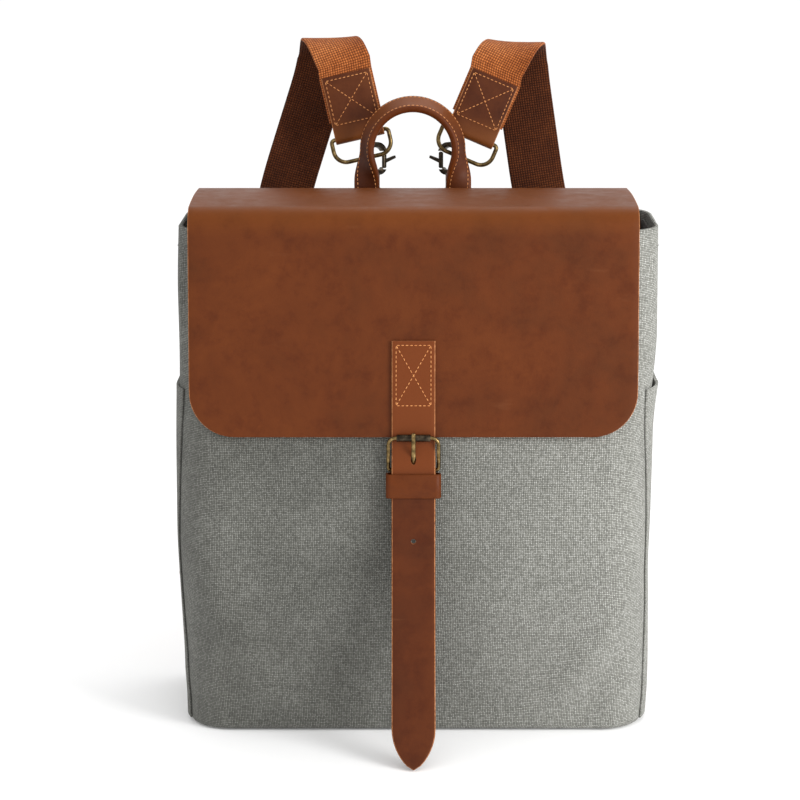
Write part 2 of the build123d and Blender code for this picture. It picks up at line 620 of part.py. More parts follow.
    rise = 350 - LOWER_Z - 30
    travel = Vector(side * (rear[2][1] - rear[1][1]), rise * slope, rise).normalized()
    slider_side = Vector(1, 0, -travel.X / travel.Z)
    slider_middle = Vector(side * between(SLIDER_Z, rear), LOWER_Y + (SLIDER_Z - LOWER_Z) * slope, SLIDER_Z)
    across_slider = Plane(origin=slider_middle, x_dir=slider_side, z_dir=travel)
    low_bar = across_slider.from_local_coords((0, -SLIDER_HEIGHT / 2, 0))
    with BuildPart() as slider:
        add(wire_loop(Plane(origin=low_bar, x_dir=slider_side, z_dir=travel),
                      SLIDER_WIDTH_HALF, SLIDER_HEIGHT, SLIDER_ROUND, SLIDER_ROUND, SLIDER_WIRE))
        with BuildSketch(Plane(origin=slider_middle, x_dir=travel, z_dir=slider_side)):
            Circle(SLIDER_BAR)
        extrude(amount=SLIDER_BAR_HALF, both=True)
    save(slider.part, f"slider_{name}")


shoulder_strap(-1, "left", lean=13, ring_x=35.5, crest_x=60, rear_x=90)
shoulder_strap(1, "right", lean=23, ring_x=37.5, crest_x=75, rear_x=90)
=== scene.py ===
import math

import bmesh
import bpy
from mathutils import Matrix, Vector, noise


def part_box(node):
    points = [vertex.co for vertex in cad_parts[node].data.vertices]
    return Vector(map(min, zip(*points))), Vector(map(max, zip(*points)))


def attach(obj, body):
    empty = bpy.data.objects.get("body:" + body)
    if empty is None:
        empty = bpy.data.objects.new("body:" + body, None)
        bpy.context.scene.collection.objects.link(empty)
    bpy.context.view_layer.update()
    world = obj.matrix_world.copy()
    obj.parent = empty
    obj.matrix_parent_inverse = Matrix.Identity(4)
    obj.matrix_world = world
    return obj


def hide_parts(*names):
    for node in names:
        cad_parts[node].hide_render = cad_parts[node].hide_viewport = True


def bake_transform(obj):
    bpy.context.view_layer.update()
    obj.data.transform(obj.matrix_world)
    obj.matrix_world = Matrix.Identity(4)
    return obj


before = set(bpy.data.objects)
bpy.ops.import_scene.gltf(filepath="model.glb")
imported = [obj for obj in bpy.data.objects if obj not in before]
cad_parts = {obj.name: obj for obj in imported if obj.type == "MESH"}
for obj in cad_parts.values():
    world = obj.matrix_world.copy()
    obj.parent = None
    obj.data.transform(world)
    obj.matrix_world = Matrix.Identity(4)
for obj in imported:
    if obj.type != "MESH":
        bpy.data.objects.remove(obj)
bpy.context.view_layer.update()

mm = 0.001


def hexColour(code):     # sRGB hex to linear
    parts = [int(code[i:i + 2], 16) / 255 for i in (1, 3, 5)]
    return [p / 12.92 if p <= 0.04045 else ((p + 0.055) / 1.055) ** 2.4 for p in parts] + [1.0]


def addNode(tree, kind, settings=None, links=None):
    node = tree.nodes.new("ShaderNode" + kind)
    for key, value in (settings or {}).items():
        if key == "stops":           # the places and colours of a colour ramp
            marks = node.color_ramp.elements
            for mark, (place, code) in ((marks[0], value[0]), (marks[1], value[-1])):
                mark.position = place
                mark.color = hexColour(code)
            for place, code in value[1:-1]:
                marks.new(place).color = hexColour(code)
        elif isinstance(key, str) and hasattr(node, key):
            setattr(node, key, value)
        else:
            node.inputs[key].default_value = value
    for key, socket in (links or {}).items():
        tree.links.new(socket, node.inputs[key])
    return node


def startMaterial(name, roughness, settings=None):
    material = bpy.data.materials.new(name)
    material.use_nodes = True
    tree = material.node_tree
    shader = tree.nodes["Principled BSDF"]
    shader.inputs["Roughness"].default_value = roughness
    for key, value in (settings or {}).items():
        shader.inputs[key].default_value = value
    return material, tree, shader


# settings of a colour mixer, whose input 0 is the factor, 6 and 7 are the colours and output 2 is the result
blended = {"data_type": "RGBA", "blend_type": "MIX"}
multiplied = {"data_type": "RGBA", "blend_type": "MULTIPLY"}

canvasLook = {"threadSpacing": 1.15, "bump": 0.8, "depth": 0.5,   # mm; a little coarse, so that it shows
              "dark": "#82827d", "middle": "#91918c", "light": "#a3a39e",
              "paintedLightColour": "#dfdfda", "paintedLightFrom": -0.03, "paintedLightTo": 0.12}   # painted light: paler to the right, in m


def weave(tree, spacing, jitter=0.12):   # plain weave on the UV map, which is in metres
    uv = addNode(tree, "TexCoord").outputs["UV"]
    wobble = addNode(tree, "TexNoise", {"Scale": 130.0, "Detail": 2.0}, {"Vector": uv})
    centred = addNode(tree, "VectorMath", {"operation": "SUBTRACT", 1: (0.5, 0.5, 0.5)},
                      {0: wobble.outputs["Color"]})
    moved = addNode(tree, "VectorMath", {"operation": "MULTIPLY_ADD", 1: (jitter * 0.01,) * 3},
                    {0: centred.outputs[0], 2: uv})
    cells = addNode(tree, "VectorMath", {"operation": "SCALE", "Scale": 1 / (spacing * mm)},
                    {0: moved.outputs[0]})
    across = addNode(tree, "SeparateXYZ", links={0: cells.outputs[0]})
    waves = []
    for axis in ("X", "Y"):
        turned = addNode(tree, "Math", {"operation": "MULTIPLY", 1: math.pi}, {0: across.outputs[axis]})
        waves.append(addNode(tree, "Math", {"operation": "SINE"}, {0: turned.outputs[0]}).outputs[0])
    product = addNode(tree, "Math", {"operation": "MULTIPLY"}, {0: waves[0], 1: waves[1]})
    bumps = addNode(tree, "Math", {"operation": "ABSOLUTE"}, {0: product.outputs[0]})
    corner = addNode(tree, "VectorMath", {"operation": "FLOOR"}, {0: cells.outputs[0]})
    speckle = addNode(tree, "TexWhiteNoise", {"noise_dimensions": "2D"}, {"Vector": corner.outputs[0]})
    return uv, bumps.outputs[0], speckle.outputs["Value"]


def washedCanvas():      # stone-washed cotton duck: coarse plain weave, matt, faded in soft patches; painted light makes it paler towards the right, and painted shade darkens the weave's hollows
    material, tree, shader = startMaterial("stoneWashedCanvas", 0.93, {
        "Sheen Weight": 0.12, "Sheen Roughness": 0.6, "Specular IOR Level": 0.2})
    uv, bumps, speckle = weave(tree, canvasLook["threadSpacing"])
    patches = addNode(tree, "TexNoise", {"Scale": 22.0, "Detail": 5.0, "Roughness": 0.62}, {"Vector": uv})
    tones = [(0.3, canvasLook["dark"]), (0.52, canvasLook["middle"]), (0.78, canvasLook["light"])]
    base = addNode(tree, "ValToRGB", {"stops": tones}, {"Fac": patches.outputs["Fac"]})
    # painted light: the canvas is painted paler towards the right, as light falls on the cloth's bulging
    # right side
    place = addNode(tree, "TexCoord").outputs["Object"]
    sideways = addNode(tree, "SeparateXYZ", links={0: place}).outputs["X"]
    paling = addNode(tree, "MapRange", {"From Min": canvasLook["paintedLightFrom"], "From Max": canvasLook["paintedLightTo"],
                                      "To Max": 0.62}, {"Value": sideways})
    withPaintedLight = addNode(tree, "Mix", {**blended, 7: hexColour(canvasLook["paintedLightColour"])},
                     {0: paling.outputs[0], 6: base.outputs[0]})
    # painted shade: the colour is darker in the weave's hollows
    weaveHollowShade = addNode(tree, "ValToRGB", {"stops": [(0.02, "#64645f"), (0.4, "#c2c2bd"), (0.85, "#ffffff")]},
                      {"Fac": bumps})
    weaveShaded = addNode(tree, "Mix", {**multiplied, 0: 0.9}, {6: withPaintedLight.outputs[2], 7: weaveHollowShade.outputs[0]})
    grain = addNode(tree, "ValToRGB", {"stops": [(0.0, "#aeaeaa"), (0.5, "#d8d8d4"), (1.0, "#ffffff")]},
                    {"Fac": speckle})
    speckled = addNode(tree, "Mix", {**multiplied, 0: 0.8}, {6: weaveShaded.outputs[2], 7: grain.outputs[0]})
    tree.links.new(speckled.outputs[2], shader.inputs["Base Color"])
    bump = addNode(tree, "Bump", {"Strength": canvasLook["bump"], "Distance": canvasLook["depth"] * mm},
                   {"Height": bumps})
    tree.links.new(bump.outputs[0], shader.inputs["Normal"])
    return material


leatherLook = {"deep": "#4d250a", "middle": "#5c2b0b", "light": "#693410", "grain": 0.6}   # grain in mm


def oiledLeather(name, deep, middle, light, paling=None):   # oiled pull-up hide: waxy, with an optional paler band by height, used as painted light on some pieces
    material, tree, shader = startMaterial(name, 0.5, {"Specular IOR Level": 0.15})
    place = addNode(tree, "TexCoord").outputs["Object"]
    cloud = addNode(tree, "TexNoise", {"Scale": 13.0, "Detail": 8.0, "Roughness": 0.66, "Distortion": 0.3},
                    {"Vector": place})
    colour = addNode(tree, "ValToRGB", {"stops": [(0.28, deep), (0.52, middle), (0.8, light)]},
                     {"Fac": cloud.outputs["Fac"]}).outputs[0]
    spots = addNode(tree, "TexNoise", {"Scale": 75.0, "Detail": 4.0, "Roughness": 0.7}, {"Vector": place})
    spotTone = addNode(tree, "ValToRGB", {"stops": [(0.3, "#cdb9aa"), (0.5, "#f4efec"), (0.72, "#ffffff")]},
                       {"Fac": spots.outputs["Fac"]})
    colour = addNode(tree, "Mix", {**multiplied, 0: 0.6}, {6: colour, 7: spotTone.outputs[0]}).outputs[2]
    turned = addNode(tree, "Mapping", {"Rotation": (0.2, 0.35, 0.5), "Scale": (14.0, 260.0, 40.0)},
                     {"Vector": place})
    scratch = addNode(tree, "TexNoise", {"Scale": 1.6, "Detail": 3.0, "Roughness": 0.55},
                      {"Vector": turned.outputs[0]})
    scratchMask = addNode(tree, "MapRange", {"From Min": 0.68, "From Max": 0.8, "To Max": 0.09},
                          {"Value": scratch.outputs["Fac"]})
    colour = addNode(tree, "Mix", {**blended, 7: hexColour("#a06a45")},
                     {0: scratchMask.outputs[0], 6: colour}).outputs[2]
    if paling:             # a paler band by height: heights in m, amount and colour; painted light on the flap's top roll, the strap from the keeper up and the handle's arch; on the tab, paler towards its fold round the ring
        height = addNode(tree, "SeparateXYZ", links={0: place}).outputs["Z"]
        pale = addNode(tree, "MapRange", {"From Min": paling[0], "From Max": paling[1], "To Max": paling[2]},
                       {"Value": height})
        colour = addNode(tree, "Mix", {**blended, 7: hexColour(paling[3])},
                         {0: pale.outputs[0], 6: colour}).outputs[2]
    tree.links.new(colour, shader.inputs["Base Color"])
    pores = addNode(tree, "TexVoronoi", {"Scale": 1000 / (leatherLook["grain"] * 2.4)}, {"Vector": place})
    soft = addNode(tree, "TexNoise", {"Scale": 160.0, "Detail": 5.0, "Roughness": 0.65}, {"Vector": place})
    relief = addNode(tree, "Math", {"operation": "MULTIPLY_ADD", 1: 0.35},
                     {0: pores.outputs["Distance"], 2: soft.outputs["Fac"]})
    bump = addNode(tree, "Bump", {"Strength": 0.3, "Distance": 0.25 * mm}, {"Height": relief.outputs[0]})
    tree.links.new(bump.outputs[0], shader.inputs["Normal"])
    wax = addNode(tree, "MapRange", {"From Min": 0.3, "From Max": 0.75, "To Min": 0.4, "To Max": 0.58},
                  {"Value": spots.outputs["Fac"]})
    tree.links.new(wax.outputs[0], shader.inputs["Roughness"])
    return material


def cutEdge():           # raw cut edge of the hide: pale fibres, dry
    material, tree, shader = startMaterial("rawLeatherEdge", 0.85)
    place = addNode(tree, "TexCoord").outputs["Object"]
    fibre = addNode(tree, "TexNoise", {"Scale": 420.0, "Detail": 4.0}, {"Vector": place})
    colour = addNode(tree, "ValToRGB", {"stops": [(0.3, "#75421f"), (0.55, "#9c6236"), (0.8, "#b98052")]},
                     {"Fac": fibre.outputs["Fac"]})
    tree.links.new(colour.outputs[0], shader.inputs["Base Color"])
    return material


def waxedThread(name, dark, light):  # thick waxed polyester thread, twisted
    material, tree, shader = startMaterial(name, 0.55, {"Sheen Weight": 0.1})
    place = addNode(tree, "TexCoord").outputs["Object"]
    fleck = addNode(tree, "TexNoise", {"Scale": 700.0, "Detail": 2.0}, {"Vector": place})
    colour = addNode(tree, "ValToRGB", {"stops": [(0.3, dark), (0.7, light)]}, {"Fac": fleck.outputs["Fac"]})
    tree.links.new(colour.outputs[0], shader.inputs["Base Color"])
    return material


# painted light and shade: the outer colours are a lit copy of the webbing, the inner colours a shaded copy
webbingLook = {"threadSpacing": 1.7, "bump": 0.9, "depth": 0.6,   # mm; a little coarse, so that it shows
               "outer": ("#b46531", "#cb783f", "#da8a50"), "inner": ("#552a11", "#633316", "#733f1e")}


def cottonWebbing(name, shades):     # heavy cotton webbing, dry and matt; painted shade darkens the weave's hollows; a paler copy for the outer side is painted light, a darker copy for the inner side is painted shade
    material, tree, shader = startMaterial(name, 0.9, {"Sheen Weight": 0.05, "Specular IOR Level": 0.15})
    uv, bumps, speckle = weave(tree, webbingLook["threadSpacing"], 0.03)
    patches = addNode(tree, "TexNoise", {"Scale": 30.0, "Detail": 3.0}, {"Vector": uv})
    base = addNode(tree, "ValToRGB", {"stops": [(0.3, shades[0]), (0.5, shades[1]), (0.75, shades[2])]},
                   {"Fac": patches.outputs["Fac"]})
    # painted shade: the colour is darker in the weave's hollows
    yarnHollowShade = addNode(tree, "ValToRGB", {"stops": [(0.02, "#6b5a4f"), (0.4, "#d3c8c0"), (0.85, "#ffffff")]},
                    {"Fac": bumps})
    weaveShaded = addNode(tree, "Mix", {**multiplied, 0: 0.9}, {6: base.outputs[0], 7: yarnHollowShade.outputs[0]})
    grain = addNode(tree, "ValToRGB", {"stops": [(0.0, "#cabfb8"), (1.0, "#ffffff")]}, {"Fac": speckle})
    speckled = addNode(tree, "Mix", {**multiplied, 0: 0.7}, {6: weaveShaded.outputs[2], 7: grain.outputs[0]})
    tree.links.new(speckled.outputs[2], shader.inputs["Base Color"])
    bump = addNode(tree, "Bump", {"Strength": webbingLook["bump"], "Distance": webbingLook["depth"] * mm},
                   {"Height": bumps})
    tree.links.new(bump.outputs[0], shader.inputs["Normal"])
    return material


def agedMetal(name, low, middle, high, roughness):   # plated zinc, darkened in the hollows
    material, tree, shader = startMaterial(name, roughness, {"Metallic": 1.0})
    place = addNode(tree, "TexCoord").outputs["Object"]
    stain = addNode(tree, "TexNoise", {"Scale": 240.0, "Detail": 5.0, "Roughness": 0.65}, {"Vector": place})
    colour = addNode(tree, "ValToRGB", {"stops": [(0.3, low), (0.5, middle), (0.72, high)]},
                     {"Fac": stain.outputs["Fac"]})
    tree.links.new(colour.outputs[0], shader.inputs["Base Color"])
    bump = addNode(tree, "Bump", {"Strength": 0.12, "Distance": 0.1 * mm}, {"Height": stain.outputs["Fac"]})
    tree.links.new(bump.outputs[0], shader.inputs["Normal"])
    return material


def plainLining():       # thin cotton lining
    material, tree, shader = startMaterial("cottonLining", 0.9, {"Sheen Weight": 0.1})
    bumps = weave(tree, 0.9, 0.05)[1]
    # painted shade: the lining's colour is darker in the weave's hollows
    colour = addNode(tree, "ValToRGB", {"stops": [(0.0, "#2d2925"), (1.0, "#4a443d")]}, {"Fac": bumps})
    tree.links.new(colour.outputs[0], shader.inputs["Base Color"])
    return material


canvas = washedCanvas()
# painted light: the flap's roll over the top is painted paler, as light from above falls on it
hide = oiledLeather("oiledHideFlap", leatherLook["deep"], leatherLook["middle"], leatherLook["light"],
                    (0.338, 0.356, 0.5, "#79400f"))
# painted light: the strap is painted paler from the keeper upwards, over the buckle and on the flap, where
# light falls on it
strapHide = oiledLeather("oiledHideStrap", "#45200a", "#52250a", "#63300f", (0.166, 0.19, 0.85, "#6d3513"))
keeperHide = oiledLeather("oiledHideKeeper", "#532609", "#602d0a", "#713810")
# painted light: the handle's arch is painted paler towards its top, where the light falls
handleHide = oiledLeather("oiledHideHandle", "#3a1a0a", "#4c230e", "#683516", (0.385, 0.415, 0.6, "#83481f"))
tabHide = oiledLeather("oiledHideTab", "#3c1a09", "#50260f", "#683717", (0.402, 0.388, 0.7, "#77431c"))
rawEdge = cutEdge()
thread = waxedThread("waxedThreadTan", "#b96c30", "#e09a58")
canvasThread = waxedThread("waxedThreadGrey", "#5c5c57", "#8a8a84")
# painted light and shade: the outer side's material is the lit copy, the inner side's the shaded copy
webbingOuter = cottonWebbing("cottonWebbingPaintedLit", webbingLook["outer"])
webbingInner = cottonWebbing("cottonWebbingPaintedShade", webbingLook["inner"])
brass = agedMetal("antiqueBrass", "#30261a", "#6e5b3a", "#a98f60", 0.3)
darkMetal = agedMetal("darkAntiqueMetal", "#1f1a15", "#3b342b", "#6a5c4a", 0.36)
liningCloth = plainLining()
print("materials ready")


def finishPiece(bm, name, materials, body=None, replaces=()):
    mesh = bpy.data.meshes.new(name)
    bm.to_mesh(mesh)
    bm.free()
    for material in materials:
        mesh.materials.append(material)
    for face in mesh.polygons:
        face.use_smooth = True
    piece = bpy.data.objects.new(name, mesh)
    bpy.context.scene.collection.objects.link(piece)
    if replaces:
        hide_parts(*replaces)
    if body:
        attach(piece, body)
    return piece


def sweepRing(count, steps, place, uvAt, closeStart, closeEnd, edgeMaterial=None):
    # a ring of count points, extruded step by step; place(i, k) gives each point, uvAt(i, k) its UV in metres
    bm = bmesh.new()
    around = bm.verts.layers.int.new("around")
    along = bm.verts.layers.int.new("along")
    uvLayer = bm.loops.layers.uv.new("cloth")
    ring = bmesh.ops.create_circle(bm, segments=count, radius=1.0)["verts"]
    for i, vert in enumerate(ring):
        vert[around] = i
    edges = list(bm.edges)
    for k in range(1, steps):
        made = bmesh.ops.extrude_edge_only(bm, edges=edges)["geom"]
        edges = [e for e in made if isinstance(e, bmesh.types.BMEdge) and len(e.link_faces) == 1]
        for vert in made:
            if isinstance(vert, bmesh.types.BMVert):
                vert[along] = k
    for vert in bm.verts:
        vert.co = place(vert[around], vert[along])
    for face in bm.faces:
        wraps = {loop.vert[around] for loop in face.loops} >= {0, count - 1}
        for loop in face.loops:
            i = loop.vert[around]
            loop[uvLayer].uv = uvAt(count if wraps and i == 0 else i, loop.vert[along])
        if edgeMaterial is not None:
            face.material_index = edgeMaterial([loop.vert[around] for loop in face.loops], wraps)
    for wanted, step in ((closeStart, 0), (closeEnd, steps - 1)):
        if wanted:
            rim = [e for e in bm.edges if len(e.link_faces) == 1 and all(v[along] == step for v in e.verts)]
            for edge in rim:
                edge.smooth = False
            for face in bmesh.ops.holes_fill(bm, edges=rim, sides=0)["faces"]:
                for loop in face.loops:
                    loop[uvLayer].uv = uvAt(loop.vert[around], step)
                if edgeMaterial is not None:
                    face.material_index = 1
    bmesh.ops.recalc_face_normals(bm, faces=bm.faces)
    return bm


def roundedStrip(width, thickness, across, rounding):
    # outline of a strap's cross-section: (across, out) points, flat faces split into a number of parts
    half, rise = width / 2, thickness / 2
    bend = rounding * thickness
    top = [(-half + bend + (width - 2 * bend) * i / across, rise) for i in range(across + 1)]
    side = [(half - bend + bend * math.sin(a), rise - bend + bend * math.cos(a)) for a in (0.6, 1.15)]
    lowSide = [(x, -y) for x, y in reversed(side)]
    right = side + lowSide
    bottom = [(-x, -y) for x, y in top]
    left = [(-x, -y) for x, y in right]
    return top + right + bottom + left


def sideMark(outline, thickness):    # material 1 on the cut sides, 0 on the faces
    def mark(indices, wraps):
        return 1 if any(abs(outline[i][1]) < thickness * 0.47 for i in indices) else 0
    return mark


def perimeterOf(outline):
    lengths = [0.0]
    for a, b in zip(outline, outline[1:] + outline[:1]):
        lengths.append(lengths[-1] + math.dist(a, b))
    return lengths


def softened(points, times=3):       # cuts the corners of a route
    for _ in range(times):
        cut = [points[0]]
        for a, b in zip(points, points[1:]):
            cut += [a.lerp(b, 0.25), a.lerp(b, 0.75)]
        points = cut + [points[-1]]
    return points


def evenly(points, spacing):         # the same route in even steps
    marks = [0.0]
    for a, b in zip(points, points[1:]):
        marks.append(marks[-1] + (b - a).length)
    count = max(2, round(marks[-1] / spacing))
    route, at = [], 0
    for n in range(count + 1):
        goal = marks[-1] * n / count
        while at < len(marks) - 2 and marks[at + 1] < goal:
            at += 1
        share = (goal - marks[at]) / max(marks[at + 1] - marks[at], 1e-9)
        route.append(points[at].lerp(points[at + 1], min(max(share, 0), 1)))
    return route


def tangents(points):
    last = len(points) - 1
    return [(points[min(i + 1, last)] - points[max(i - 1, 0)]).normalized() for i in range(last + 1)]


def strapAlong(route, outline, across, edgeMaterial, widthAt=None):
    # a strap with this cross-section along a route; across is one vector, or one for each point
    along = tangents(route)
    sideways = across if isinstance(across, list) else [Vector(across)] * len(route)
    outward = [t.cross(s).normalized() for t, s in zip(along, sideways)]
    lengths = [0.0]
    for a, b in zip(route, route[1:]):
        lengths.append(lengths[-1] + (b - a).length)
    reach = perimeterOf(outline)

    def place(i, k):
        x, y = outline[i]
        if widthAt:
            x *= widthAt(k)
        return route[k] + sideways[k].normalized() * x + outward[k] * y

    def uvAt(i, k):
        return (reach[i], lengths[k])

    return sweepRing(len(outline), len(route), place, uvAt, True, True, edgeMaterial)


stitchLook = {"pitch": 3.0, "length": 2.3, "thick": 0.32}   # mm


def sew(bm, route, outward, inset=0.12, look=stitchLook):
    # a row of separate stitches along a route; outward is one vector or a function of the place along it
    total = sum((b - a).length for a, b in zip(route, route[1:]))
    points = evenly(route, total / max(1, round(total / (look["pitch"] * mm))))
    for a, b in zip(points, points[1:]):
        middle, run = (a + b) / 2, (b - a).normalized()
        up = outward(middle) if callable(outward) else Vector(outward)
        up = (up - run * up.dot(run)).normalized()
        turn = Matrix((run, up.cross(run), up)).transposed().to_4x4()
        size = Matrix.Diagonal((look["length"] * mm / 2, look["thick"] * mm, look["thick"] * mm * 0.8, 1.0))
        middle = middle + up * inset * mm
        bmesh.ops.create_uvsphere(bm, u_segments=6, v_segments=5, radius=1.0,
                                  matrix=Matrix.Translation(middle) @ turn @ size)


def boxAndCross(bm, centre, right, up, width, height, outward):   # the sewn square with a cross in it
    corners = [centre + right * sx * width / 2 + up * sy * height / 2
               for sx, sy in ((-1, -1), (1, -1), (1, 1), (-1, 1))]
    for a, b in zip(corners, corners[1:] + corners[:1]):
        sew(bm, [a, b], outward)
    sew(bm, [corners[0], corners[2]], outward)
    sew(bm, [corners[1], corners[3]], outward)


def polish(nodeName, material, body, bevel=0.4, widen=1.0):
    # a CAD node's own shape with its sharp edges eased
    bm = bmesh.new()
    bm.from_mesh(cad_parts[nodeName].data)
    bmesh.ops.scale(bm, vec=(widen, 1.0, 1.0), verts=bm.verts)
    bmesh.ops.remove_doubles(bm, verts=bm.verts, dist=1e-6)
    bmesh.ops.dissolve_limit(bm, angle_limit=math.radians(1.5), verts=bm.verts, edges=bm.edges)
    piece = finishPiece(bm, nodeName + "_eased", [material], body, [nodeName])
    ease = piece.modifiers.new("ease", "BEVEL")
    ease.width, ease.segments, ease.limit_method, ease.angle_limit = bevel * mm, 2, "ANGLE", math.radians(32)
    ease.harden_normals = True


# the bag's plan at three heights: height, width, front y and corner radius
levels = [(0.0, 0.308, -0.058, 0.030), (0.130, 0.318, -0.066, 0.034), (0.342, 0.312, -0.040, 0.026)]
backY = 0.062
topZ = 0.342


def levelAt(z):                      # width, front y and corner radius, straight between the levels
    low, high = (levels[0], levels[1]) if z <= levels[1][0] else (levels[1], levels[2])
    share = (z - low[0]) / (high[0] - low[0])
    return [a + (b - a) * share for a, b in zip(low[1:], high[1:])]


def easedLevel(z):                   # the same with the kink at the widest level eased out
    offsets = (-0.036, -0.018, 0.0, 0.018, 0.036)
    found = [levelAt(z + o) for o in offsets]
    return [sum(part) / len(part) for part in zip(*found)]


sagLook = {"high": 7.5, "highFrom": 0.20, "highOver": 0.075,   # how far out in mm, where in m
           "low": 4.0, "lowTo": 0.11, "lowOver": 0.09}


def eased(share):
    share = min(max(share, 0.0), 1.0)
    return share * share * (3 - 2 * share)


def planPoint(share, z, inset):      # the right side hangs a little further out, at the mouth and at the foot
    point, out, total = plainPlan(share, z, inset)
    high = sagLook["high"] * eased((z - sagLook["highFrom"]) / sagLook["highOver"])
    low = sagLook["low"] * eased((sagLook["lowTo"] - z) / sagLook["lowOver"])
    return point + out * max(out.x, 0.0) * (high + low) * mm, out, total


def plainPlan(share, z, inset):
    # a point of the bag's plan at a height, by its share of the way round from the middle of the front
    width, front, radius = easedLevel(z)
    halfW, halfD = width / 2 - inset, (backY - front) / 2 - inset
    middleY = (backY + front) / 2
    radius = radius - inset
    straightX, straightY = halfW - radius, halfD - radius
    arc = radius * math.pi / 2
    runs = [straightX, arc, 2 * straightY, arc, 2 * straightX, arc, 2 * straightY, arc, straightX]
    total = sum(runs)
    s = (share % 1.0) * total
    corners = [(1, -1, 0), (1, 1, 1), (-1, 1, 2), (-1, -1, 3)]
    if s <= runs[0]:
        return Vector((s, middleY - halfD, z)), Vector((0, -1, 0)), total
    s -= runs[0]
    for sx, sy, turn in corners:
        if s <= arc:
            angle = -math.pi / 2 + turn * math.pi / 2 + s / radius
            out = Vector((math.cos(angle), math.sin(angle), 0))
            return Vector((sx * straightX, middleY + sy * straightY, z)) + out * radius, out, total
        s -= arc
        run = {0: 2 * straightY, 1: 2 * straightX, 2: 2 * straightY, 3: straightX}[turn]
        if s <= run or turn == 3:
            angle = turn * math.pi / 2
            out = Vector((math.cos(angle), math.sin(angle), 0))
            ahead = Vector((-out.y, out.x, 0))
            start = Vector((sx * straightX, middleY + sy * straightY, z)) + out * radius
            return start + ahead * s, out, total
        s -= run


# soft creases: place on the front (x, z), direction, length, width and height, in mm
creases = [(118, 52, 52, 95, 13, 3.3), (142, 70, 68, 85, 8, -2.0), (96, 26, 38, 70, 10, 2.2),
           (-118, 66, 118, 90, 12, 2.7), (60, 16, 12, 90, 9, -1.5), (-70, 20, 170, 110, 10, 1.4),
           (150, 300, 82, 60, 8, 1.8), (-150, 290, 95, 66, 8, 1.8)]


def creaseAt(point):
    lift = 0.0
    for x, z, turn, length, width, height in creases:
        dx, dz = point.x / mm - x, point.z / mm - z
        c, s = math.cos(math.radians(turn)), math.sin(math.radians(turn))
        lengthways, sideways = dx * c + dz * s, -dx * s + dz * c
        lift += height * math.exp(-(lengthways / length) ** 2 * 2 - (sideways / width) ** 2)
    return lift * mm


snapPlace = sum(corner[2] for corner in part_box("snap_base")) / 2


def clothPoint(share, z):
    point, out, total = planPoint(share, z, 0.0)
    soft = noise.noise(Vector((point.x * 16, point.y * 16, z * 13)))
    lift = soft * 1.1 * mm
    lift += creaseAt(point) * eased(-point.y / 0.035)
    snapAway = math.hypot(point.x, point.z - snapPlace) if out.y < -0.5 else 1.0
    lift *= eased((snapAway - 0.011) / 0.03)
    underFlap = min(max((z - 0.195) / 0.02, 0), 1) if out.y < -0.5 else 0.0
    lift = lift * (1 - underFlap) + min(lift, 0.0) * underFlap
    nearFloor = min(z / 0.02, 1.0)
    return point + out * max(lift, -1.3 * mm) * nearFloor, out, total


shellCloth = {"around": 280, "rows": 96, "wall": 2.3, "facing": 26}   # points round, rows, mm, mm


def makeShell():
    around, rows = shellCloth["around"], shellCloth["rows"]
    wall = shellCloth["wall"] * mm
    foot = [(0.30, 0.0), (0.06, 0.0), (0.012, 0.0), (0.0045, 0.0002), (0.0012, 0.0015)]   # inset and height
    outer = [0.004 + (topZ - 0.0045) * k / rows for k in range(rows + 1)]
    inner = [(0.3 * wall, topZ), (0.7 * wall, topZ), (wall, topZ - 0.0008), (wall, topZ - 0.012),
             (wall, topZ - shellCloth["facing"] * mm)]
    levelsUp = [("in", i, z) for i, z in foot] + [("out", 0, z) for z in outer]
    levelsUp += [("in", i, z) for i, z in inner]

    def place(i, k):
        kind, inset, z = levelsUp[k]
        if kind == "out":
            return clothPoint(i / around, z)[0]
        if inset > 0.02:             # the underside, drawn in towards the middle
            point = planPoint(i / around, 0.0, 0.0)[0]
            centre = Vector((0, 0.002, 0))
            return centre.lerp(Vector((point.x, point.y, 0.0)), 0.1 if inset > 0.2 else 0.62)
        return planPoint(i / around, max(z, 0.0), inset)[0]

    lengths = [0.0]
    for k in range(1, len(levelsUp)):
        lengths.append(lengths[-1] + (place(0, k) - place(0, k - 1)).length)
    total = planPoint(0, 0.13, 0)[2]
    return sweepRing(around, len(levelsUp), place, lambda i, k: (total * i / around, lengths[k]), True, False)


finishPiece(makeShell(), "bagCloth", [canvas], "bag",
            ["front_panel", "back_panel", "gusset_left", "gusset_right", "base_panel", "mouth_hem"])


def makeLining():
    heights = [0.009, 0.0092, 0.012] + [0.03 + 0.3 * k / 10 for k in range(11)] + [0.3365]
    insets = [0.05, 0.006] + [0.0052] * 11 + [0.0042]

    def place(i, k):
        return planPoint(i / 120, heights[k], insets[min(k, len(insets) - 1)])[0]

    total = planPoint(0, 0.13, 0)[2]
    return sweepRing(120, len(heights), place, lambda i, k: (total * i / 120, heights[k]), True, False)


liningPiece = finishPiece(makeLining(), "liningCloth", [liningCloth], "bag", ["lining"])
wall = liningPiece.modifiers.new("thickness", "SOLIDIFY")
wall.thickness, wall.offset = 0.8 * mm, 0
polish("laptop_sleeve", liningCloth, "bag", 0.8)
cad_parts["base_board"].data.materials.clear()
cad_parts["base_board"].data.materials.append(liningCloth)


pocketLook = {"top": 0.235, "front": -0.040, "back": 0.042, "room": {-1: 0.2, 1: 2.6}, "thick": 2.0}


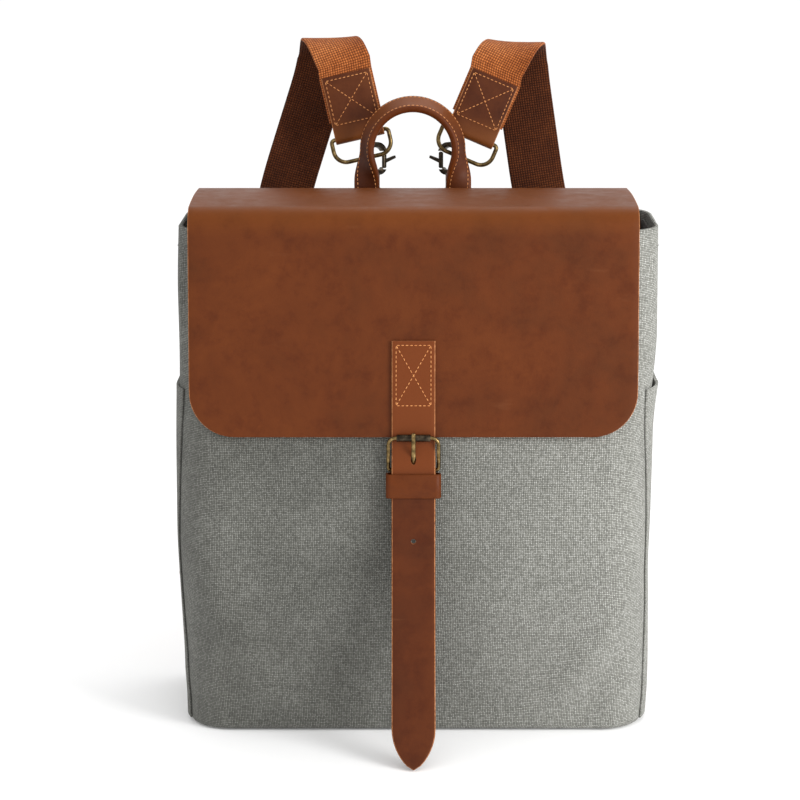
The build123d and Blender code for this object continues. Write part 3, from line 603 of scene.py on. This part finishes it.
def makePocket(side):                # a slip pocket that hugs the gusset and gapes a little at its mouth
    count = 40
    rows = [0.0035 + (pocketLook["top"] - 0.0035) * k / 50 for k in range(51)]

    def shareAt(y, z):               # share of the way round the bag for a place on the right gusset
        low, high = 0.05, 0.45
        for _ in range(24):
            middle = (low + high) / 2
            if plainPlan(middle, z, 0)[0].y < y:
                low = middle
            else:
                high = middle
        return low

    cache = {}

    def place(i, k):
        z = rows[k]
        outerSide = i < count
        n = i if outerSide else 2 * count - 1 - i
        y = pocketLook["front"] + (pocketLook["back"] - pocketLook["front"]) * n / (count - 1)
        if (n, k) not in cache:
            share = shareAt(y, z)
            cache[(n, k)] = clothPoint(share if side > 0 else 1 - share, z)
        point, out, _ = cache[(n, k)]
        edge = min(1.0, min(n, count - 1 - n) / 11.0)
        swell = edge * edge * (3 - 2 * edge)
        gape = 0.55 + 0.45 * (z / pocketLook["top"])
        soft = noise.noise(Vector((y * 30, z * 14, 3.0 + side))) * 0.5
        room = pocketLook["room"][side] * swell
        lift = (0.3 + room * (gape + soft / 4)) * mm
        if outerSide:
            lift += pocketLook["thick"] * mm * (0.45 + 0.55 * swell)
        return point + out * lift

    width = pocketLook["back"] - pocketLook["front"]
    return sweepRing(2 * count, len(rows), place,
                     lambda i, k: (width * min(i, 2 * count - i) / count, rows[k]), True, True)


stitches = {}


def stitchesOn(body):
    if body not in stitches:
        stitches[body] = bmesh.new()
    return stitches[body]


for name, side in (("left", -1), ("right", 1)):
    finishPiece(makePocket(side), "pocketCloth_" + name, [canvas], "bag", ["side_pocket_" + name])
print("bag and pockets ready")


flapLook = {"width": 0.297, "thick": 2.2, "corner": 0.030, "columns": 54}
frontLow, frontHigh = Vector((0, levels[1][2], levels[1][0])), Vector((0, levels[2][2], levels[2][0]))
frontUp = (frontHigh - frontLow).normalized()
frontOut = Vector((0, -frontUp.z, frontUp.y))


def beside(up, out):                 # a point this far up the front and out from the cloth, in metres
    return frontLow + frontUp * up + frontOut * out


hingeBack, hingeFront = Vector((0, 0.052, 0.343)), Vector((0, -0.030028, 0.3428))
rollBack, rollFront = 0.0127, 0.0129


def arcPoints(centre, radius, first, last, count):
    return [centre + Vector((0, math.cos(math.radians(a)), math.sin(math.radians(a)))) * radius
            for a in (first + (last - first) * n / count for n in range(count + 1))]


seamY = 0.011
topCrown = 0.0014
topMiddleZ = 0.3557
hingeGap = hingeBack.y - seamY
rollGap = seamY - hingeFront.y


def crownAt(share):                  # height of the hide over the mouth, from its flat edge to its crown
    return topMiddleZ + topCrown * math.sin(math.pi / 2 * share)


backRoute = [Vector((0, 0.0647, 0.292 + 0.0065 * n)) for n in range(8)]
backRoute += arcPoints(hingeBack, rollBack, 2, 90, 16)
backRoute += [Vector((0, hingeBack.y - hingeGap * n / 12, crownAt(n / 12))) for n in range(1, 13)]
frontRoute = [Vector((0, seamY - rollGap * n / 12, crownAt(1 - n / 12))) for n in range(13)]
frontRoute += arcPoints(hingeFront, rollFront, 90, 173, 18)[1:]
hangTop, hangLow = beside(0.2156, 0.0031), beside(0.0770, 0.0031)
hang = (hangLow - hangTop).length
lowSteps = [0.030 * (1 - math.cos(math.pi / 2 * n / 14)) for n in range(14)]
frontRoute += [hangTop.lerp(hangLow, n / 40 * (1 - 0.030 / hang)) for n in range(1, 40)]
frontRoute += [hangLow.lerp(hangTop, d / hang) for d in reversed(lowSteps)]


def flapHalf(route, name, rounded, replaces):
    outline = roundedStrip(flapLook["width"], flapLook["thick"] * mm, flapLook["columns"], 0.22)
    total = sum((b - a).length for a, b in zip(route, route[1:]))
    left = [total]
    for a, b in zip(route, route[1:]):
        left.append(left[-1] - (b - a).length)
    half = flapLook["width"] / 2

    def widthAt(k):
        d = max(left[k], 0.0)
        if not rounded or d > flapLook["corner"]:
            return 1.0
        r = flapLook["corner"]
        return (half - r + math.sqrt(max(r * r - (r - d) ** 2, 0.0))) / half

    bm = strapAlong(route, outline, (1, 0, 0), sideMark(outline, flapLook["thick"] * mm), widthAt)
    for vert in bm.verts:            # the hide isn't flat: long low waves, and its lower edge lifts a touch
        if vert.co.z < 0.335 and vert.co.y < 0:
            low = min(max((0.335 - vert.co.z) / 0.13, 0), 1)
            wave = noise.noise(Vector((vert.co.x * 11, 4.2, vert.co.z * 9)))
            vert.co += frontOut * (0.5 + 0.5 * wave) * 0.9 * mm * low * min(1.0, abs(vert.co.x) / 0.03)
    piece = finishPiece(bm, name, [hide, rawEdge], None, replaces)
    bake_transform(piece)


flapHalf(backRoute, "flapHide_back",
         False, ["flap_back"])
flapHalf(frontRoute, "flapHide_front",
         True, ["flap_top", "flap_front"])
print("flap ready")


strapLook = {"width": 0.029, "thick": 2.4 * mm, "tip": 0.027, "spareHoleZ": 0.139, "spareHole": 1.7 * mm,
             "tongueHoleUp": 0.0627, "tongueHole": 1.75 * mm, "boxUp": 0.1182, "box": (0.0230, 0.0400)}
tailTop = beside(0.0345, 0.0103)
tailTip = Vector((0, -0.133, 0.0012))
upper = [beside(u, o) for u, o in (
    (0.141, 0.0054), (0.120, 0.0054), (0.096, 0.0054), (0.0725, 0.0054), (0.0695, 0.0058),
    (0.0585, 0.0096), (0.0555, 0.0103), (0.045, 0.0103))]
chord = tailTip - tailTop
straight = -frontUp
half = chord.length / 2 / math.sin(chord.angle(straight))
side = (chord - straight * chord.dot(straight)).normalized()
centre = tailTop + side * half
bend = 2 * chord.angle(straight)
tail = [centre - side * half * math.cos(bend * n / 44) + straight * half * math.sin(bend * n / 44)
        for n in range(1, 45)]
upperRoute = evenly(softened(upper + [tailTop], 2), 0.0022)
strapRoute = upperRoute + evenly([tailTop] + tail, 0.0026)[1:]


def strapWidth(route, tip):          # 1 along the strap, drawn in to a rounded point at its end
    left = [0.0]
    for a, b in zip(reversed(route), list(reversed(route))[1:]):
        left.append(left[-1] + (b - a).length)
    left = list(reversed(left))

    def widthAt(k):
        share = min(left[k] / tip, 1.0)
        return max(math.sin(math.pi / 2 * share) ** 0.62, 0.02)
    return widthAt


strapOutline = roundedStrip(strapLook["width"], strapLook["thick"], 10, 0.3)
strapMesh = strapAlong(strapRoute, strapOutline, (1, 0, 0), sideMark(strapOutline, strapLook["thick"]),
                       strapWidth(strapRoute, strapLook["tip"]))
closingStrap = finishPiece(strapMesh, "closingStrap", [strapHide, rawEdge], None,
                           ["flap_strap", "strap_tail"])


def punch(piece, cutters):           # cuts holes with boolean tools and keeps the result
    for cutter in cutters:
        cut = piece.modifiers.new("hole", "BOOLEAN")
        cut.object, cut.operation, cut.solver = cutter, "DIFFERENCE", "EXACT"
    bpy.context.view_layer.update()
    result = bpy.data.meshes.new_from_object(piece.evaluated_get(bpy.context.evaluated_depsgraph_get()))
    piece.modifiers.clear()
    piece.data = result
    for cutter in cutters:
        bpy.data.objects.remove(cutter)


def cutterAt(centre, along, radius, stretch=1.0, depth=0.02):
    bm = bmesh.new()
    turn = along.to_track_quat("Z", "Y").to_matrix().to_4x4()
    place = Matrix.Translation(centre) @ turn @ Matrix.Diagonal((1.0, stretch, 1.0, 1.0))
    bmesh.ops.create_cone(bm, cap_ends=True, segments=24, radius1=radius, radius2=radius, depth=depth,
                          matrix=place)
    mesh = bpy.data.meshes.new("cutter")
    bm.to_mesh(mesh)
    bm.free()
    mesh.materials.append(rawEdge)
    cutter = bpy.data.objects.new("cutter", mesh)
    bpy.context.scene.collection.objects.link(cutter)
    return cutter


spareAt = min(strapRoute, key=lambda p: abs(p.z - strapLook["spareHoleZ"]))
punch(closingStrap, [cutterAt(spareAt, Vector((0, -1, 0)), strapLook["spareHole"]),
                     cutterAt(beside(strapLook["tongueHoleUp"], 0.0082), frontOut,
                              strapLook["tongueHole"], 2.0)])
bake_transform(closingStrap)

keeperLook = {"width": 36.6 * mm, "depth": 13.1 * mm, "thick": 1.7 * mm,
              "low": 37.2 * mm, "high": 53.2 * mm, "out": 6.95 * mm}


def makeKeeper():                    # a band of hide round the strap, its edges eased
    bandHalf = keeperLook["thick"] / 2
    w, d, r = keeperLook["width"] / 2 - bandHalf, keeperLook["depth"] / 2 - bandHalf, 2.9 * mm
    centreAt = beside((keeperLook["low"] + keeperLook["high"]) / 2, keeperLook["out"])
    ring = []
    for cx, cy, first in ((1, 1, 0), (-1, 1, 90), (-1, -1, 180), (1, -1, 270)):
        for n in range(6):
            a = math.radians(first + 90 * n / 5)
            ring.append((Vector((cx * (w - r) + math.cos(a) * r, cy * (d - r) + math.sin(a) * r)),
                         Vector((math.cos(a), math.sin(a)))))
    tall = (keeperLook["high"] - keeperLook["low"]) / 2
    e = 0.5 * mm
    section = [(-bandHalf, -tall + e), (-bandHalf + e, -tall), (bandHalf - e, -tall), (bandHalf, -tall + e),
               (bandHalf, 0), (bandHalf, tall - e), (bandHalf - e, tall), (-bandHalf + e, tall),
               (-bandHalf, tall - e), (-bandHalf, 0)]

    def place(i, k):
        out, up = section[k % len(section)]
        at, normal = ring[i]
        flat = at + normal * out
        return centreAt + Vector((1, 0, 0)) * flat.x + frontOut * flat.y + frontUp * up

    bm = sweepRing(len(ring), len(section) + 1, place, lambda i, k: (i * 3 * mm, k * 2 * mm), False, False,
                   lambda indices, wraps: 0)
    bmesh.ops.remove_doubles(bm, verts=bm.verts, dist=1e-6)
    bmesh.ops.recalc_face_normals(bm, faces=bm.faces)
    return bm


finishPiece(makeKeeper(), "keeperBand", [keeperHide], "flap_front", ["keeper"])
polish("buckle_chape", strapHide, "flap_front", 0.5)

boxAndCross(stitchesOn("flap_front"), beside(strapLook["boxUp"], 0.0054 + 0.0012), Vector((1, 0, 0)),
            frontUp, *strapLook["box"], frontOut)


polish("buckle_frame", brass, "buckle_frame", 0.2)
polish("buckle_roller", darkMetal, "buckle_roller", 0.3)
polish("buckle_tongue", brass, "buckle_tongue", 0.2, 1.4)
polish("snap_cap", brass, "flap_front", 0.2)
polish("snap_base", brass, "bag", 0.2)
print("strap and buckle ready")


handleLook = {"x": 0.032, "y": 0.0705, "foot": 0.299, "arch": 0.381, "twistFrom": 0.352,
              "width": 0.018, "thick": 4.8 * mm, "twist": math.radians(68), "seam": 0.0062}


def handleFrames():                  # face-on at the feet, turning towards edge-on at the arch
    x, y, arch, foot = handleLook["x"], handleLook["y"], handleLook["arch"], handleLook["foot"]

    def wide(angle, twist):
        return Vector((math.cos(angle) * math.cos(twist), math.sin(twist), math.sin(angle) * math.cos(twist)))

    def twistAt(z):
        return handleLook["twist"] * eased((z - handleLook["twistFrom"]) / (arch - handleLook["twistFrom"]))

    leg = [foot + (arch - foot) * n / 44 for n in range(44)]
    frames = [(Vector((x, y, z)), wide(0, twistAt(z))) for z in leg]
    for n in range(41):
        a = math.pi * n / 40
        frames.append((Vector((x * math.cos(a), y, arch + x * math.sin(a))), wide(a, handleLook["twist"])))
    return frames + [(Vector((-x, y, z)), wide(math.pi, twistAt(z))) for z in reversed(leg)]


handlePath = handleFrames()
handleOutline = roundedStrip(handleLook["width"], handleLook["thick"], 6, 0.38)
handleMesh = strapAlong([p for p, _ in handlePath], handleOutline, [w for _, w in handlePath],
                        sideMark(handleOutline, handleLook["thick"]))
handlePiece = finishPiece(handleMesh, "handleHide", [handleHide, keeperHide], None,
                          ["carry_handle", "handle_foot_left", "handle_foot_right"])
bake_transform(handlePiece)

handleRun = tangents([p for p, _ in handlePath])
for face in (-1, 1):
    for row in (-1, 1):
        seam, ups = [], []
        for (point, wide), run in zip(handlePath, handleRun):
            if point.z < handleLook["twistFrom"]:
                continue
            outward = run.cross(wide).normalized() * face
            inFrom = wide.normalized() * row * handleLook["seam"]
            seam.append(point + inFrom + outward * handleLook["thick"] / 2)
            ups.append(outward)
        sew(stitchesOn("handle"), seam,
            lambda place: ups[min(range(len(seam)), key=lambda n: (seam[n] - place).length)], 0.05)

lowerTabBox = {"x": 0.145, "y": 0.0653, "z": 0.0345, "width": 0.024, "height": 0.013}
polish("back_yoke", strapHide, "bag", 0.6)
for name, side in (("left", -1), ("right", 1)):
    polish("anchor_tab_" + name, strapHide, "bag", 0.4)
    polish("lower_tab_" + name, strapHide, "bag", 0.5)
    for part, body in (("swivel_eye", "shoulder_strap_"), ("snap_hook", "snap_hook_"),
                       ("snap_gate", "snap_gate_")):
        polish(part + "_" + name, darkMetal, body + name, 0.35)
    for part, body in (("strap_ring", "shoulder_strap_"), ("lower_ring", "shoulder_strap_"),
                       ("slider", "slider_")):
        polish(part + "_" + name, brass, body + name, 0.2)
    boxAndCross(stitchesOn("bag"), Vector((side * lowerTabBox["x"], lowerTabBox["y"], lowerTabBox["z"])),
                Vector((1, 0, 0)), Vector((0, 0, 1)), lowerTabBox["width"], lowerTabBox["height"], (0, 1, 0))
yokeLow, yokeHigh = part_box("back_yoke")
seamIn = 0.004                       # the yoke's seam, in from its edge
yokeCorners = [Vector((x, yokeHigh[1], z)) for x, z in (
    (yokeLow[0] + seamIn, yokeLow[2] + seamIn), (yokeHigh[0] - seamIn, yokeLow[2] + seamIn),
    (yokeHigh[0] - seamIn, yokeHigh[2] - seamIn), (yokeLow[0] + seamIn, yokeHigh[2] - seamIn))]
for a, b in zip(yokeCorners, yokeCorners[1:] + yokeCorners[:1]):
    sew(stitchesOn("bag"), [a, b], (0, 1, 0))
print("handle ready")


webLook = {"width": 0.038, "thick": 2.3 * mm}
tabLook = {"width": 0.035, "length": 0.044, "leg": 2.0 * mm, "leanBack": 6, "turn": 1.6 * mm,
           "boxUp": 0.0257, "box": (0.0300, 0.0315)}
ringLook = {"y": 0.090, "z": 0.381, "toBar": 0.0085}
lowerBar = {"x": 0.145, "y": 0.076, "z": 0.084, "turn": 0.0029, "return": 0.095}


def shareOf(value, knots):
    for (a, low), (b, high) in zip(knots, knots[1:]):
        if value <= b:
            s = (value - a) / (b - a)
            return low + (high - low) * s
    return knots[-1][1]


def shoulderStrap(side, name, lean, ringX, crestX, rearX):
    body = "shoulder_strap_" + name
    lean, leanBack = math.radians(lean), math.radians(tabLook["leanBack"])
    back = Vector((0, math.sin(leanBack), math.cos(leanBack)))
    outwards = Vector((side, 0, 0))
    up = outwards * math.sin(lean) + back * math.cos(lean)
    across = (outwards * math.cos(lean) - back * math.sin(lean)) * side
    front = up.cross(across).normalized()
    front = front if front.y < 0 else -front
    bar = Vector((side * ringX, ringLook["y"], ringLook["z"])) + up * ringLook["toBar"]

    # the tab: a strip of hide folded round the ring, with the webbing's end between its legs
    legOut = webLook["thick"] / 2 + tabLook["leg"] / 2
    fold = [bar + up * tabLook["length"] - front * legOut, bar + up * 0.008 - front * legOut]
    fold += [bar + (front * -math.cos(a) - up * math.sin(a)) * (tabLook["turn"] + tabLook["leg"] / 2)
             for a in (math.pi * n / 8 for n in range(9))]
    fold += [bar + up * 0.008 + front * legOut, bar + up * tabLook["length"] + front * legOut]
    outline = roundedStrip(tabLook["width"], tabLook["leg"], 4, 0.3)
    tabMesh = strapAlong(evenly(fold, 0.0012), outline, across, sideMark(outline, tabLook["leg"]))
    finishPiece(tabMesh, "endTab_" + name, [tabHide, rawEdge], body, ["end_tab_" + name])
    for face in (-1, 1):
        faceOut = front * face * (legOut + tabLook["leg"] / 2)
        boxAndCross(stitchesOn(body), bar + up * tabLook["boxUp"] + faceOut, across, up,
                    *tabLook["box"], front * face)

    # the webbing: out of the tab, over the crest, down the back, round the lower ring and up to its sewn end
    start = bar + up * (tabLook["length"] + 0.0001)
    loopR = 0.017
    begin = Vector((0, start.y + 0.0008, start.z + 0.007))
    first = Vector((0, 0.0008, 0.007)).normalized()
    aside = Vector((0, first.z, -first.y))
    loopCentre = begin + aside * loopR
    loop = [loopCentre - aside * loopR * math.cos(a) + first * loopR * math.sin(a)
            for a in (math.radians(182) * n / 26 for n in range(27))]
    runEnd = Vector((0, lowerBar["y"] + lowerBar["turn"], lowerBar["z"]))
    slope = (loop[-1].y - runEnd.y) / (loop[-1].z - runEnd.z)
    rear = [(lowerBar["z"], lowerBar["x"]), (lowerBar["z"] + 0.03, lowerBar["x"] - 0.004), (0.350, rearX),
            (loop[-1].z, crestX + 0.003)]
    places = []
    for n, p in enumerate([Vector((0, start.y, start.z))] + loop):
        x = abs(start.x) + (crestX - abs(start.x)) * n / 14 if n <= 14 else crestX + 0.003 * (n - 14) / 13
        places.append(Vector((side * x, p.y, p.z)))
    run = [loop[-1].lerp(runEnd, n / 60) for n in range(1, 60)]
    barY, barZ, turnR = lowerBar["y"], lowerBar["z"], lowerBar["turn"]
    turn = [Vector((0, barY + turnR * math.cos(a), barZ - turnR * math.sin(a)))
            for a in (math.pi * n / 10 for n in range(11))]
    backEnd = Vector((0, barY - turnR + lowerBar["return"] * slope, barZ + lowerBar["return"]))
    returned = [turn[-1].lerp(backEnd, n / 20) for n in range(1, 21)]
    for p in run + turn + returned:
        places.append(Vector((side * shareOf(max(p.z, lowerBar["z"]), rear), p.y, p.z)))
    inTab = [bar + up * (0.012 + 0.004 * n) for n in range(8)]
    places = inTab + places
    smooth = places[:]
    for _ in range(6):               # evens out the sideways drift only
        xs = [p.x for p in smooth]
        for n in range(9, len(smooth) - 1):
            smooth[n].x = (xs[n - 1] + 2 * xs[n] + xs[n + 1]) / 4
    along = tangents(smooth)
    flat = tangents([Vector((0, p.y, p.z)) for p in smooth])
    sideways = [t.cross(Vector((0, -f.z, f.y))).normalized() for t, f in zip(along, flat)]
    if sideways[0].dot(across) < 0:
        sideways = [-s for s in sideways]
    for _ in range(10):              # the webbing leaves its tab square and turns gradually
        sideways = [across.copy() if n < len(inTab) else
                    (sideways[n - 1] + 2 * sideways[n] + sideways[min(n + 1, len(sideways) - 1)]).normalized()
                    for n in range(len(sideways))]
    outlineWeb = roundedStrip(webLook["width"], webLook["thick"], 8, 0.42)
    # painted shade: the faces on the webbing's inner side take the shaded copy
    webMesh = strapAlong(smooth, outlineWeb, sideways, lambda indices, wraps:
                         1 if all(outlineWeb[i][1] > 0 for i in indices) else 0)
    finishPiece(webMesh, "shoulderWebbing_" + name, [webbingOuter, webbingInner], body,
                ["webbing_" + name])


shoulderStrap(-1, "left", 13, 0.0355, 0.060, 0.090)
shoulderStrap(1, "right", 23, 0.0375, 0.075, 0.090)

# one row of stitches round the bag's mouth
hemStitches = bmesh.new()
hemLook = {"pitch": 3.6, "length": 2.7, "thick": 0.38, "height": 0.3285}   # mm, and the row's height in m
hemRoute = [clothPoint(n / 220, hemLook["height"])[0] for n in range(221)]
sew(hemStitches, hemRoute, lambda place: Vector((place.x * 0.3, place.y, 0)) if abs(place.x) < 0.14
    else Vector((place.x, 0, 0)), 0.15, hemLook)
finishPiece(hemStitches, "hemStitches", [canvasThread], "bag")
for body, bm in stitches.items():
    finishPiece(bm, "stitches_" + body, [thread], body)
print("shoulder straps ready")


def lamp(name, place, target, size, energy, colour="#ffffff"):
    data = bpy.data.lights.new(name, "AREA")
    data.shape, data.size, data.size_y = "RECTANGLE", size[0], size[1]
    data.energy, data.color = energy, hexColour(colour)[:3]
    light = bpy.data.objects.new(name, data)
    bpy.context.scene.collection.objects.link(light)
    light.location = place
    light.rotation_euler = (Vector(target) - Vector(place)).to_track_quat("-Z", "Y").to_euler()


def makeFloor():
    bm = bmesh.new()
    bmesh.ops.create_grid(bm, x_segments=2, y_segments=2, size=12.0)
    mesh = bpy.data.meshes.new("floor")
    bm.to_mesh(mesh)
    bm.free()
    floor = bpy.data.objects.new("floor", mesh)
    bpy.context.scene.collection.objects.link(floor)
    material, _, shader = startMaterial("paleFloor", 0.9, {"Specular IOR Level": 0.1})
    shader.inputs["Base Color"].default_value = hexColour("#f7f7f7")
    shader.inputs["Emission Color"].default_value = (1, 1, 1, 1)
    shader.inputs["Emission Strength"].default_value = 0.09
    mesh.materials.append(material)


makeFloor()
world = bpy.data.worlds.new("softRoom")
world.use_nodes = True
world.node_tree.nodes["Background"].inputs["Color"].default_value = (1, 1, 1, 1)
world.node_tree.nodes["Background"].inputs["Strength"].default_value = 1.0
bpy.context.scene.world = world
lamp("keyRight", (1.0, -0.8, 0.6), (0.05, 0, 0.2), (0.5, 0.7), 13)
lamp("topBack", (0.3, 0.8, 1.6), (0, 0, 0.3), (1.2, 0.8), 5)

cameraLook = {"lens": 111.7, "place": (-0.0089, -1.6564, 0.6006), "target": (-0.0089, 0, 0.2182)}
cameraData = bpy.data.cameras.new("camera")
cameraData.lens, cameraData.sensor_width = cameraLook["lens"], 36
camera = bpy.data.objects.new("camera", cameraData)
bpy.context.scene.collection.objects.link(camera)
camera.location = cameraLook["place"]
camera.rotation_euler = (Vector(cameraLook["target"]) - camera.location).to_track_quat("-Z", "Y").to_euler()
bpy.context.scene.camera = camera
bpy.context.scene.view_settings.view_transform = "Standard"
print("lights and camera ready")
